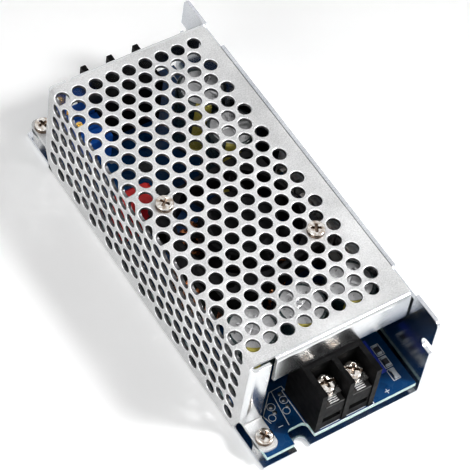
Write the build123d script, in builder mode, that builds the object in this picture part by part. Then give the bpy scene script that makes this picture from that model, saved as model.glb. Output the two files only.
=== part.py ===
from build123d import *
from math import cos, pi, radians, sin, sqrt, tan
import os

# Boost converter module: board, terminals and fan in a folded, perforated aluminium case
os.makedirs("parts", exist_ok=True)

# Sides of small hidden rounds, of screw bores and of the fan's and inductor's rings
small_sides = 12
bore_sides = 20
ring_sides = 42

# Case, folded from aluminium sheet
case_width = 57.0
case_length = 140.0
case_height = 37.0
sheet = 1.2
bend = 1.8
end_bend = 1.7
middle = sheet / 2
bend_middle = bend - middle
left = -case_width / 2
right = case_width / 2
case_end = case_length / 2
wall_inner = right - sheet
cover_inner = left + sheet

# Cover
cover_front_inset = 12.3
cover_rear_inset = 10.5
cover_front = cover_front_inset - case_end
cover_rear = case_end - cover_rear_inset
cover_length = cover_rear - cover_front
cover_shift = (cover_front + cover_rear) / 2
cover_gap = 0.25
bend_relief = 1.75
flange_left = left + 8.3
flange_setback = 0.35
flange_drop = 11.3
tab_right = left + 6.5
strip_inset = 4.5
strip_clearance = 0.3
foot_left = left + 0.7
foot_right = left + 6.8
foot_reach = 10.4
foot_rise = 3.6
foot_corner = 2.2

# Base and right wall
base_left = left + 0.5
base_clearance = 0.2
strip_end_clearance = 0.6
raised_length = cover_length - 22.5
notch_depth = 2.0
notch_outer = case_end - 11.5
end_corner = 1.8
slot_width = 4.4
slot_run = 6.0
wall_slot_height = 23.7
wall_slot_end = case_end - 4.3
base_slot_x = left + 14.6
base_slot_end = case_end - 3.9

# Perforation: staggered rows, the pitch along a row and the least margins to the cover's edges
hole_diameter = 4.4
hole_sides = 6
pitch = 5.9
row_spacing = pitch * 5 / 6
first_hole_x = left + 1.77
first_hole_y = cover_front + 7.57
wall_first_z = case_height + 0.14
side_margin = 4.0
rear_margin = 6.0
lower_margin = 4.5
punch_depth = sheet + 0.4

# Circuit board
board_left_gap = 1.45
board_right_gap = 1.05
board_end_gap = 0.4
board_under = 4.2
board_thickness = 1.6
board_top = board_under + board_thickness
board_left = left + board_left_gap
board_right = wall_inner - board_right_gap
board_length = case_length - 2 * board_end_gap
board_notch_width = 7.2
board_notch_depth = 5.1
board_notch_corner = 2.0

# Board fastenings
standoff_across = 5.0
collar_across = 4.2
thread_radius = 1.25
board_hole_radius = 1.6
screw_radius = 1.2
screw_head_radius = 2.75
screw_head_height = 2.0
foot_screw_x = left + 3.6
foot_screw_inset = 3.9
inner_screw_x = wall_inner - 9.6
inner_screw_y = cover_front + 29.7
rear_screw_x = wall_inner - 3.1
rear_screw_y = case_end - 19.8

# Barrier terminals
terminal_x = left + 28.5
terminal_pitch = 9.5
partition = 1.8
terminal_front = case_end - 0.7
terminal_depth = 16.3
terminal_back = terminal_front - terminal_depth
terminal_top = 25.3
back_wall_front = terminal_front - 9.9
pedestal_front = terminal_front - 0.4
contact_front = terminal_front - 0.2
contact_top = 17.9
contact_thickness = 0.7
contact_width = 6.4
pole_slot_top = 11.3
pole_slot_height = 2.3
pole_slot_depth = 1.4
clamp_width = 7.0
clamp_thickness = 0.9
clamp_hole_clearance = 0.3
clamp_y = terminal_front - 6.0
terminal_screw_radius = 1.75
terminal_head_radius = 3.1
terminal_head_height = 2.7
terminal_screw_reach = 7.5
running_fit = 0.05

# Fan
fan_size = 40.0
fan_depth = 10.0
fan_x = left + 25.37
fan_y = cover_front + 46.9
fan_turn = 5.2
fan_hole_inset = 4.0
fan_hole_spacing = fan_size - 2 * fan_hole_inset
half_spacing = fan_hole_spacing / 2
fan_hole_radius = 1.75
fan_corner = 2.5
fan_flange = 2.6
duct_wall = 1.0
waist_wall = 1.6
duct_radius = fan_size / 2 - duct_wall
hub_radius = 12.0
fan_base_radius = 11.0
fan_base_thickness = 1.6
strut_width = 2.2
strut_overlap = 0.75
struts = 4
blades = 7
blade_sink = 0.4
blade_tip_gap = 1.1
blade_thickness = 1.4
blade_sweep = 7.0
rotor_gap = 0.5
fan_shaft_radius = 1.0
fan_screw_radius = 1.45
fan_head_radius = 2.8
fan_head_height = 1.9
fan_top = case_height - sheet
fan_bottom = fan_top - fan_depth

# Fan lead and its socket
lead_diameter = 1.2
lead_sides = 6
lead_spacing = 1.3
lead_x = fan_x + fan_size / 2 - 2.77
lead_y = fan_y + 12.0
lead_drop = 5.6
socket_x = wall_inner - 10.3
socket_y = cover_rear - 51.5
socket_width = 4.6
socket_depth = 5.0
socket_height = 6.0

# Inductor
inductor_x = left + 23.5
inductor_y = cover_front + 45.7
core_outer = 16.4
core_inner = 10.2
core_height = 12.6
wire_side = 1.4
turns = 26
turn_clearance = 0.05

# Electrolytic capacitors, three across the front and two along the right wall
capacitor_gap = 1.2
capacitor_left_gap = 1.3
capacitor_right_gap = 2.9
side_gaps = capacitor_left_gap + capacitor_right_gap
capacitor_radius = (wall_inner - cover_inner - side_gaps - 2 * capacitor_gap) / 6
capacitor_height = 25.2
front_capacitor_x = cover_inner + capacitor_left_gap + capacitor_radius
front_capacitor_y = cover_front + 15.7
front_capacitor_pitch = 2 * capacitor_radius + capacitor_gap
rear_capacitor_x = wall_inner - 2.8 - capacitor_radius
rear_capacitor_y = cover_rear - 18.5
rear_capacitor_gap = 1.5
rear_capacitor_pitch = 2 * capacitor_radius + rear_capacitor_gap

# Trimmers, beside the input terminal
trimmer_gap = 0.45
trimmer_length = 9.4
trimmer_width = 4.8
trimmer_height = 10.0
trimmer_pitch = trimmer_width + 0.9
trimmer_x = terminal_x - terminal_pitch - partition / 2 - trimmer_gap - trimmer_length / 2
trimmer_first_y = case_end - 9.1
trimmer_count = 3
trimmer_screw_inset = 1.9
trimmer_screw_radius = 1.15
trimmer_screw_rise = 0.7
trimmer_screw_depth = 1.6
trimmer_slot = 0.5

# Film capacitor
film_x = left + 9.7
film_y = inductor_y + 32.0
film_length = 12.5
film_width = 8.5
film_height = 15.0
film_corner = 0.9

# Power transistors on the right wall
transistor_count = 4
transistor_first_y = cover_front + 29.7
transistor_width = 10.0
transistor_pitch = transistor_width + 1.0
transistor_body_height = 9.2
transistor_body_depth = 4.5
transistor_tab_height = 15.8
transistor_tab_depth = 1.3
transistor_lift = 3.4
transistor_hole_drop = 2.9
transistor_hole_radius = 1.8
transistor_lead = 0.8
transistor_lead_pitch = 2.54
insulator_thickness = 0.3
insulator_margin = 1.5
wall_screw_radius = 1.2
wall_screw_head_radius = 2.6
wall_screw_head_height = 1.7

# Small parts on the board
chip_length = 5.0
chip_width = 4.0
chip_height = 1.5
chip_lift = 0.1
chip_x = left + 24.5
chip_y = (cover_rear - 32.5, cover_rear - 21.5)
chip_pin = 0.4
chip_pin_pitch = 1.27
chip_pin_reach = 1.0
chip_pin_height = 0.75
resistor_x = wall_inner - 5.0
resistor_y = 10.9 - case_end
resistor_pitch = 4.65
resistor_size = (1.6, 3.2, 0.6)

standoff_places = (
    (foot_screw_x, cover_front - foot_reach + foot_screw_inset),
    (foot_screw_x, cover_rear + foot_reach - foot_screw_inset),
    (inner_screw_x, inner_screw_y),
    (rear_screw_x, rear_screw_y),
)
transistor_bottom = board_top + transistor_lift
transistor_back = wall_inner - insulator_thickness
transistor_hole_z = transistor_bottom + transistor_tab_height - transistor_hole_drop
transistor_y = [transistor_first_y + number * transistor_pitch for number in range(transistor_count)]
transistor_wall_places = [(y, transistor_hole_z) for y in transistor_y]
fan_plane = Plane(Location((fan_x, fan_y, fan_bottom), (0, 0, fan_turn)))
fan_screw_places = [(-half_spacing, half_spacing), (half_spacing, -half_spacing)]

# Base and right wall, one folded sheet
with BuildPart() as chassis:
    with BuildSketch(Plane.XZ):
        with BuildLine() as chassis_fold:
            FilletPolyline(
                (base_left, middle),
                (right - middle, middle),
                (right - middle, case_height),
                radius=bend_middle,
            )
        trace(chassis_fold.line, sheet)
    extrude(amount=case_end, both=True)
    wall_end_corners = chassis.edges().filter_by(Axis.X).group_by(Axis.Z)[-1]
    fillet(wall_end_corners, end_corner)
    # the base is set back where the cover's wall runs beside it
    with BuildSketch(Plane.XY):
        with Locations((left, cover_shift)):
            Rectangle(
                2 * (sheet + base_clearance),
                cover_length - 2 * (strip_inset - strip_end_clearance),
            )
    extrude(amount=sheet, mode=Mode.SUBTRACT)
    # the wall is lower beside the ends of the cover
    with BuildSketch(Plane.YZ.offset(wall_inner)):
        with Locations((0, case_height)):
            Rectangle(2 * notch_outer, 2 * notch_depth)
        with Locations((cover_shift, case_height)):
            Rectangle(raised_length, 2 * notch_depth, mode=Mode.SUBTRACT)
    extrude(amount=sheet, mode=Mode.SUBTRACT)
    # open slots at the ends of wall and base
    with BuildSketch(Plane.YZ.offset(wall_inner)):
        slot_y = wall_slot_end + slot_width / 2 + slot_run / 2
        with Locations((-slot_y, wall_slot_height), (slot_y, wall_slot_height)):
            SlotCenterToCenter(slot_run, slot_width)
        with Locations(*transistor_wall_places):
            RegularPolygon(thread_radius, small_sides, major_radius=False)
    extrude(amount=sheet, mode=Mode.SUBTRACT)
    with BuildSketch(Plane.XY):
        slot_y = base_slot_end + slot_width / 2 + slot_run / 2
        with Locations((base_slot_x, -slot_y), (base_slot_x, slot_y)):
            SlotCenterToCenter(slot_run, slot_width, rotation=90)
        with Locations(*standoff_places):
            RegularPolygon(collar_across / 2, 6, major_radius=False)
    extrude(amount=sheet, mode=Mode.SUBTRACT)
chassis.part.label = "chassis"
export_step(chassis.part, "parts/chassis.step")

# Cover: top, left wall, end flanges, ears and feet, one folded sheet
punch_radius = hole_diameter / 2 * sqrt(2 * pi / hole_sides / sin(2 * pi / hole_sides))
cover_right = wall_inner - cover_gap
flange_right = cover_right - flange_setback
strip_top = board_top + sheet
with BuildPart() as cover:
    with BuildSketch(Plane.XZ.offset(-cover_shift)):
        with BuildLine() as cover_fold:
            FilletPolyline(
                (cover_right, case_height - middle),
                (left + middle, case_height - middle),
                (left + middle, strip_clearance),
                radius=bend_middle,
            )
        trace(cover_fold.line, sheet)
    extrude(amount=cover_length / 2 - bend_relief, both=True)
    # the wall's lower strip is shorter than the cover
    with BuildSketch(Plane.XZ.offset(-cover_shift)):
        with Locations((left, 0)):
            Rectangle(2 * bend, 2 * strip_top)
    extrude(amount=cover_length / 2, both=True, mode=Mode.SUBTRACT)
    with BuildSketch(Plane.YZ.offset(left)):
        with BuildLine():
            Polyline(
                (cover_front + strip_inset, strip_clearance),
                (cover_rear - strip_inset, strip_clearance),
                (cover_rear - bend_relief, strip_top),
                (cover_front + bend_relief, strip_top),
                close=True,
            )
        make_face()
    extrude(amount=sheet)
    for end in (cover_front, cover_rear):
        inward = 1 if end < cover_shift else -1
        face = end + inward * middle
        inner = end + inward * bend_relief
        toe = end - inward * foot_reach
        # flange, bent down from the top
        with BuildSketch(Plane.YZ.offset(flange_left)):
            with BuildLine() as flange_fold:
                FilletPolyline(
                    (inner, case_height - middle),
                    (face, case_height - middle),
                    (face, case_height - flange_drop),
                    radius=end_bend - middle,
                )
            trace(flange_fold.line, sheet)
        extrude(amount=flange_right - flange_left)
        # ear, bent round from the left wall
        with BuildSketch(Plane.XY.offset(strip_top)):
            with BuildLine() as ear_fold:
                FilletPolyline(
                    (left + middle, inner),
                    (left + middle, face),
                    (tab_right, face),
                    radius=end_bend - middle,
                )
            trace(ear_fold.line, sheet)
        extrude(amount=case_height - sheet - strip_top)
        # foot, bent out from the ear and screwed down
        with BuildSketch(Plane.YZ.offset(foot_left)):
            with BuildLine() as foot_fold:
                FilletPolyline(
                    (face, board_top + foot_rise),
                    (face, board_top + middle),
                    (toe, board_top + middle),
                    radius=bend_middle,
                )
            trace(foot_fold.line, sheet)
        extrude(amount=foot_right - foot_left)
    foot_corners = cover.edges().filter_by(Axis.Z).group_by(Axis.Y)
    fillet(foot_corners[0] + foot_corners[-1], foot_corner)
    with BuildSketch(Plane.XY.offset(board_top)):
        with Locations(*standoff_places[:2]):
            RegularPolygon(board_hole_radius, small_sides, major_radius=False)
    extrude(amount=sheet, mode=Mode.SUBTRACT)
    with BuildSketch(fan_plane.offset(fan_depth)):
        with Locations(*fan_screw_places):
            RegularPolygon(fan_screw_radius, small_sides)
    extrude(amount=sheet, mode=Mode.SUBTRACT)
    # staggered holes: the long rows start on the bend, the short rows half a pitch inside
    rows = int((cover_rear - rear_margin - first_hole_y) / row_spacing) + 1
    long_rows = rows // 2
    short_rows = rows - long_rows
    middle_short = first_hole_y + (short_rows - 1) * row_spacing
    middle_long = first_hole_y + long_rows * row_spacing
    columns = int((cover_right - side_margin - first_hole_x) / pitch) + 1
    middle_column = first_hole_x + (columns - 1) / 2 * pitch
    with BuildSketch(Plane.XY.offset(case_height - punch_depth)):
        with Locations((middle_column, middle_long)):
            with GridLocations(pitch, 2 * row_spacing, columns, long_rows):
                RegularPolygon(punch_radius, hole_sides, rotation=30)
        with Locations((middle_column, middle_short)):
            with GridLocations(pitch, 2 * row_spacing, columns - 1, short_rows):
                RegularPolygon(punch_radius, hole_sides, rotation=30)
    extrude(amount=2 * punch_depth, mode=Mode.SUBTRACT)
    wall_columns = int((wall_first_z - lower_margin) / pitch)
    wall_middle_z = wall_first_z - (wall_columns + 1) / 2 * pitch
    with BuildSketch(Plane.YZ.offset(left - punch_depth)):
        with Locations((middle_long, wall_middle_z)):
            with GridLocations(2 * row_spacing, pitch, long_rows, wall_columns):
                RegularPolygon(punch_radius, hole_sides)
        with Locations((middle_short, wall_middle_z)):
            with GridLocations(2 * row_spacing, pitch, short_rows, wall_columns + 1):
                RegularPolygon(punch_radius, hole_sides)
    extrude(amount=2 * punch_depth, mode=Mode.SUBTRACT)
cover.part.label = "cover"
export_step(cover.part, "parts/cover.step")

# Circuit board
with BuildPart() as circuit_board:
    with BuildSketch(Plane.XY.offset(board_under)):
        with Locations(((board_left + board_right) / 2, 0)):
            Rectangle(board_right - board_left, board_length)
        with Locations((base_slot_x, -board_length / 2), (base_slot_x, board_length / 2)):
            RectangleRounded(board_notch_width, 2 * board_notch_depth, board_notch_corner, mode=Mode.SUBTRACT)
        with Locations(*standoff_places):
            RegularPolygon(board_hole_radius, small_sides, major_radius=False, mode=Mode.SUBTRACT)
    extrude(amount=board_thickness)
circuit_board.part.label = "circuit_board"
export_step(circuit_board.part, "parts/circuit_board.step")

# Standoffs, pressed into the base
with BuildPart() as standoffs:
    with BuildSketch(Plane.XY):
        with Locations(*standoff_places):
            RegularPolygon(collar_across / 2, 6, major_radius=False)
    extrude(amount=sheet)
    with BuildSketch(Plane.XY.offset(sheet)):
        with Locations(*standoff_places):
            RegularPolygon(standoff_across / 2, 6, major_radius=False, rotation=30)
    extrude(amount=board_under - sheet)
    with BuildSketch(Plane.XY):
        with Locations(*standoff_places):
            RegularPolygon(thread_radius, small_sides, major_radius=False)
    extrude(amount=board_under, mode=Mode.SUBTRACT)
standoffs.part.label = "standoffs"
export_step(standoffs.part, "parts/standoffs.step")

# Screws that hold the board, two of them through the cover's feet
with BuildPart() as board_screws:
    for place in standoff_places:
        seat = board_top + sheet if place in standoff_places[:2] else board_top
        with BuildSketch(Plane.XY.offset(seat)):
            with Locations(place):
                Circle(screw_head_radius)
        extrude(amount=screw_head_height)
        with BuildSketch(Plane.XY.offset(seat)):
            with Locations(place):
                RegularPolygon(screw_radius, small_sides)
        extrude(amount=sheet - seat)
board_screws.part.label = "board_screws"
export_step(board_screws.part, "parts/board_screws.step")

# Barrier terminals: the output at the front, the input at the rear
pedestal_top = contact_top - contact_thickness
bay_places = (terminal_x - terminal_pitch / 2, terminal_x + terminal_pitch / 2)
for terminal, side in (("output", -1), ("input", 1)):
    with BuildPart() as terminal_body:
        with BuildSketch(Plane.YZ.offset(terminal_x)):
            with BuildLine():
                Polyline(
                    (side * terminal_back, board_top),
                    (side * terminal_back, terminal_top),
                    (side * back_wall_front, terminal_top),
                    (side * back_wall_front, pedestal_top),
                    (side * pedestal_front, pedestal_top),
                    (side * pedestal_front, board_top),
                    close=True,
                )
            make_face()
        extrude(amount=terminal_pitch, both=True)
        for step in (-terminal_pitch, 0, terminal_pitch):
            with BuildSketch(Plane.YZ.offset(terminal_x + step)):
                with Locations((side * (terminal_front + terminal_back) / 2, board_top)):
                    Rectangle(
                        terminal_depth,
                        terminal_top - board_top,
                        align=(Align.CENTER, Align.MIN),
                    )
            extrude(amount=partition / 2, both=True)
        with BuildSketch(Plane.XY.offset(pedestal_top)):
            with Locations(*[(x, side * clamp_y) for x in bay_places]):
                RegularPolygon(terminal_screw_radius + running_fit, bore_sides, major_radius=False)
        extrude(amount=-terminal_screw_reach, mode=Mode.SUBTRACT)
        with BuildSketch(Plane.XZ.offset(-side * pedestal_front)):
            with Locations(*[(x, pole_slot_top) for x in bay_places]):
                Rectangle(contact_width, pole_slot_height, align=(Align.CENTER, Align.MAX))
        extrude(amount=side * pole_slot_depth, mode=Mode.SUBTRACT)
    terminal_body.part.label = f"{terminal}_terminal_body"
    export_step(terminal_body.part, f"parts/{terminal}_terminal_body.step")

    with BuildPart() as contacts:
        contact_length = contact_front - back_wall_front
        with BuildSketch(Plane.XY.offset(pedestal_top)):
            with Locations(*[(x, side * (back_wall_front + contact_length / 2)) for x in bay_places]):
                Rectangle(contact_width, contact_length)
            with Locations(*[(x, side * clamp_y) for x in bay_places]):
                RegularPolygon(
                    terminal_screw_radius + running_fit,
                    bore_sides,
                    major_radius=False,
                    mode=Mode.SUBTRACT,
                )
        extrude(amount=contact_thickness)
    contacts.part.label = f"{terminal}_contacts"
    export_step(contacts.part, f"parts/{terminal}_contacts.step")

    for number, x in enumerate(bay_places, 1):
        with BuildPart() as clamp_plate:
            with BuildSketch(Plane.XY.offset(contact_top)):
                with Locations((x, side * clamp_y)):
                    Rectangle(clamp_width, clamp_width)
                    RegularPolygon(
                        terminal_screw_radius + clamp_hole_clearance,
                        small_sides,
                        major_radius=False,
                        mode=Mode.SUBTRACT,
                    )
            extrude(amount=clamp_thickness)
        clamp_plate.part.label = f"{terminal}_clamp_plate_{number}"
        export_step(clamp_plate.part, f"parts/{terminal}_clamp_plate_{number}.step")

        head_under = contact_top + clamp_thickness
        with BuildPart() as clamp_screw:
            with BuildSketch(Plane.XY.offset(head_under)):
                with Locations((x, side * clamp_y)):
                    Circle(terminal_head_radius)
            extrude(amount=terminal_head_height)
            with BuildSketch(Plane.XY.offset(head_under)):
                with Locations((x, side * clamp_y)):
                    RegularPolygon(terminal_screw_radius, bore_sides)
            extrude(amount=-(clamp_thickness + terminal_screw_reach - 2 * running_fit))
        clamp_screw.part.label = f"{terminal}_screw_{number}"
        export_step(clamp_screw.part, f"parts/{terminal}_screw_{number}.step")

# Fan frame, held under the cover
strut_length = duct_radius - fan_base_radius + 2 * strut_overlap
with BuildPart() as fan_frame:
    with BuildSketch(fan_plane):
        RectangleRounded(fan_size, fan_size, fan_corner)
        RegularPolygon(duct_radius, ring_sides, major_radius=False, mode=Mode.SUBTRACT)
    extrude(amount=fan_depth)
    # between the two flanges the corners are open
    with BuildSketch(fan_plane.offset(fan_flange)):
        Rectangle(fan_size + fan_corner, fan_size + fan_corner)
        RegularPolygon(duct_radius + waist_wall, small_sides, major_radius=False, mode=Mode.SUBTRACT)
    extrude(amount=fan_depth - 2 * fan_flange, mode=Mode.SUBTRACT)
    with BuildSketch(fan_plane):
        RegularPolygon(fan_base_radius, ring_sides)
        with PolarLocations(fan_base_radius - strut_overlap, struts):
            Rectangle(strut_length, strut_width, align=(Align.MIN, Align.CENTER))
    extrude(amount=fan_base_thickness)
    with BuildSketch(fan_plane):
        Circle(fan_shaft_radius + running_fit)
        with GridLocations(fan_hole_spacing, fan_hole_spacing, 2, 2):
            RegularPolygon(fan_hole_radius, small_sides, major_radius=False)
    extrude(amount=fan_depth, mode=Mode.SUBTRACT)
fan_frame.part.label = "fan_frame"
export_step(fan_frame.part, "parts/fan_frame.step")

# Fan rotor: hub, shaft and slanted blades
rotor_bottom = fan_base_thickness + rotor_gap
rotor_top = fan_depth - rotor_gap
blade_height = rotor_top - rotor_bottom - 2 * rotor_gap
blade_root = hub_radius - blade_sink
blade_tip = duct_radius - blade_tip_gap
with BuildPart() as fan_rotor:
    with BuildSketch(fan_plane.offset(rotor_bottom)):
        RegularPolygon(hub_radius, ring_sides)
    extrude(amount=rotor_top - rotor_bottom)
    with BuildSketch(fan_plane.offset(rotor_bottom)):
        Circle(fan_shaft_radius)
    extrude(amount=-(rotor_gap + fan_base_thickness - 2 * running_fit))
    for blade in range(blades):
        turn = radians(fan_turn + blade * 360 / blades)
        outward = Vector(cos(turn), sin(turn), 0)
        across = Vector(-sin(turn), cos(turn), 0)
        root = Vector(fan_x, fan_y, fan_bottom + rotor_bottom + rotor_gap) + outward * blade_root
        with BuildSketch(Plane(origin=root, x_dir=across, z_dir=outward)):
            with BuildLine():
                Polyline(
                    (-blade_sweep / 2, 0),
                    (-blade_sweep / 2 + blade_thickness, 0),
                    (blade_sweep / 2, blade_height),
                    (blade_sweep / 2 - blade_thickness, blade_height),
                    close=True,
                )
            make_face()
        extrude(amount=blade_tip - blade_root)
fan_rotor.part.label = "fan_rotor"
export_step(fan_rotor.part, "parts/fan_rotor.step")

# Fan screws, on two opposite corners
with BuildPart() as fan_screws:
    with BuildSketch(fan_plane.offset(fan_depth + sheet)):
        with Locations(*fan_screw_places):
            Circle(fan_head_radius)
    extrude(amount=fan_head_height)
    with BuildSketch(fan_plane):
        with Locations(*fan_screw_places):
            RegularPolygon(fan_screw_radius, small_sides)
    extrude(amount=fan_depth + sheet)
fan_screws.part.label = "fan_screws"
export_step(fan_screws.part, "parts/fan_screws.step")

# Inductor: ring core and one layer of turns
core_under = board_top + wire_side
with BuildPart() as inductor_core:
    with BuildSketch(Plane.XY.offset(core_under)):
        with Locations((inductor_x, inductor_y)):
            RegularPolygon(core_outer, 2 * turns)
            RegularPolygon(core_inner, 2 * turns, mode=Mode.SUBTRACT)
    extrude(amount=core_height)
inductor_core.part.label = "inductor_core"
export_step(inductor_core.part, "parts/inductor_core.step")

with BuildPart() as inductor_winding:
    for number in range(turns):
        turn = radians((number + 0.5) * 360 / turns)
        outward = Vector(cos(turn), sin(turn), 0)
        origin = Vector(inductor_x, inductor_y, core_under + core_height / 2)
        middle_radius = (core_outer + core_inner) / 2
        core_section = core_outer - core_inner + 2 * turn_clearance
        with BuildSketch(Plane(origin=origin, x_dir=outward, z_dir=outward.cross(Vector(0, 0, 1)))):
            with Locations((middle_radius, 0)):
                Rectangle(core_section + 2 * wire_side, core_height + 2 * wire_side)
                Rectangle(core_section, core_height, mode=Mode.SUBTRACT)
        extrude(amount=wire_side / 2, both=True)
inductor_winding.part.label = "inductor_winding"
export_step(inductor_winding.part, "parts/inductor_winding.step")

# Electrolytic capacitors
capacitor_places = [
    (f"front_capacitor_{number + 1}", front_capacitor_x + number * front_capacitor_pitch, front_capacitor_y)
    for number in range(3)
]
capacitor_places += [
    (f"rear_capacitor_{number + 1}", rear_capacitor_x, rear_capacitor_y - number * rear_capacitor_pitch)
    for number in range(2)
]
for name, x, y in capacitor_places:
    with BuildPart() as capacitor:
        with BuildSketch(Plane.XY.offset(board_top)):
            with Locations((x, y)):
                Circle(capacitor_radius)
        extrude(amount=capacitor_height)
    capacitor.part.label = name
    export_step(capacitor.part, f"parts/{name}.step")

# Trimmers with their screws
for number in range(trimmer_count):
    y = trimmer_first_y - number * trimmer_pitch
    screw_place = (trimmer_x - trimmer_length / 2 + trimmer_screw_inset, y)
    trimmer_top = board_top + trimmer_height
    with BuildPart() as trimmer_body:
        with BuildSketch(Plane.XY.offset(board_top)):
            with Locations((trimmer_x, y)):
                Rectangle(trimmer_length, trimmer_width)
        extrude(amount=trimmer_height)
        with BuildSketch(Plane.XY.offset(trimmer_top)):
            with Locations(screw_place):
                Circle(trimmer_screw_radius + running_fit)
        extrude(amount=-trimmer_screw_depth, mode=Mode.SUBTRACT)
    trimmer_body.part.label = f"trimmer_body_{number + 1}"
    export_step(trimmer_body.part, f"parts/trimmer_body_{number + 1}.step")

    with BuildPart() as trimmer_screw:
        with BuildSketch(Plane.XY.offset(trimmer_top + trimmer_screw_rise)):
            with Locations(screw_place):
                Circle(trimmer_screw_radius)
        extrude(amount=-(trimmer_screw_rise + trimmer_screw_depth - running_fit))
        with BuildSketch(Plane.XY.offset(trimmer_top + trimmer_screw_rise)):
            with Locations(screw_place):
                Rectangle(2 * trimmer_screw_radius + trimmer_slot, trimmer_slot)
        extrude(amount=-trimmer_slot, mode=Mode.SUBTRACT)
    trimmer_screw.part.label = f"trimmer_screw_{number + 1}"
    export_step(trimmer_screw.part, f"parts/trimmer_screw_{number + 1}.step")

# Film capacitor
with BuildPart() as film_capacitor:
    with BuildSketch(Plane.XY.offset(board_top)):
        with Locations((film_x, film_y)):
            Rectangle(film_length, film_width)
    extrude(amount=film_height)
    chamfer(film_capacitor.edges().filter_by(Axis.Z), film_corner)
    chamfer(film_capacitor.faces().sort_by(Axis.Z)[-1].edges(), film_corner)
film_capacitor.part.label = "film_capacitor"
export_step(film_capacitor.part, "parts/film_capacitor.step")

# Power transistors, their insulating strip and the screws into the wall
for number, y in enumerate(transistor_y, 1):
    with BuildPart() as transistor:
        with BuildSketch(Plane.XY.offset(transistor_bottom)):
            with Locations((transistor_back, y)):
                Rectangle(transistor_tab_depth, transistor_width, align=(Align.MAX, Align.CENTER))
        extrude(amount=transistor_tab_height)
        with BuildSketch(Plane.XY.offset(transistor_bottom)):
            with Locations((transistor_back, y)):
                Rectangle(transistor_body_depth, transistor_width, align=(Align.MAX, Align.CENTER))
        extrude(amount=transistor_body_height)
        with BuildSketch(Plane.YZ.offset(transistor_back)):
            with Locations((y, transistor_hole_z)):
                RegularPolygon(transistor_hole_radius, small_sides, major_radius=False)
        extrude(amount=-transistor_tab_depth, mode=Mode.SUBTRACT)
        with BuildSketch(Plane.XY.offset(board_top)):
            with Locations((transistor_back - transistor_body_depth / 2, y)):
                with GridLocations(transistor_lead_pitch, transistor_lead_pitch, 1, 3):
                    Rectangle(transistor_lead, transistor_lead)
        extrude(amount=transistor_lift)
    transistor.part.label = f"transistor_{number}"
    export_step(transistor.part, f"parts/transistor_{number}.step")

strip_length = max(transistor_y) - min(transistor_y) + transistor_width + 2 * insulator_margin
with BuildPart() as insulator_strip:
    with BuildSketch(Plane.YZ.offset(transistor_back)):
        with Locations(((max(transistor_y) + min(transistor_y)) / 2, transistor_bottom - insulator_margin)):
            Rectangle(
                strip_length,
                transistor_tab_height + 2 * insulator_margin,
                align=(Align.CENTER, Align.MIN),
            )
        with Locations(*transistor_wall_places):
            RegularPolygon(thread_radius, small_sides, major_radius=False, mode=Mode.SUBTRACT)
    extrude(amount=insulator_thickness)
insulator_strip.part.label = "insulator_strip"
export_step(insulator_strip.part, "parts/insulator_strip.step")

with BuildPart() as wall_screws:
    with BuildSketch(Plane.YZ.offset(transistor_back - transistor_tab_depth)):
        with Locations(*transistor_wall_places):
            RegularPolygon(wall_screw_head_radius, small_sides)
    extrude(amount=-wall_screw_head_height)
    with BuildSketch(Plane.YZ.offset(transistor_back - transistor_tab_depth)):
        with Locations(*transistor_wall_places):
            RegularPolygon(wall_screw_radius, small_sides)
    extrude(amount=transistor_tab_depth + insulator_thickness + sheet)
wall_screws.part.label = "wall_screws"
export_step(wall_screws.part, "parts/wall_screws.step")

# Controller chips and the row of resistors by the output
for number, y in enumerate(chip_y, 1):
    with BuildPart() as chip:
        with BuildSketch(Plane.XY.offset(board_top + chip_lift)):
            with Locations((chip_x, y)):
                Rectangle(chip_width, chip_length)
        extrude(amount=chip_height)
        with BuildSketch(Plane.XY.offset(board_top)):
            with Locations((chip_x, y)):
                with GridLocations(chip_width + chip_pin_reach, chip_pin_pitch, 2, 4):
                    Rectangle(chip_pin_reach, chip_pin)
        extrude(amount=chip_pin_height)
    chip.part.label = f"controller_chip_{number}"
    export_step(chip.part, f"parts/controller_chip_{number}.step")

with BuildPart() as chip_resistors:
    with BuildSketch(Plane.XY.offset(board_top)):
        with Locations((resistor_x, resistor_y)):
            with GridLocations(resistor_pitch, resistor_pitch, 1, 3):
                Rectangle(resistor_size[0], resistor_size[1])
    extrude(amount=resistor_size[2])
chip_resistors.part.label = "chip_resistors"
export_step(chip_resistors.part, "parts/chip_resistors.step")

# Socket of the fan lead
with BuildPart() as fan_socket:
    with BuildSketch(Plane.XY.offset(board_top)):
        with Locations((socket_x, socket_y)):
            Rectangle(socket_width, socket_depth)
    extrude(amount=socket_height)
fan_socket.part.label = "fan_socket"
export_step(fan_socket.part, "parts/fan_socket.step")

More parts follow.
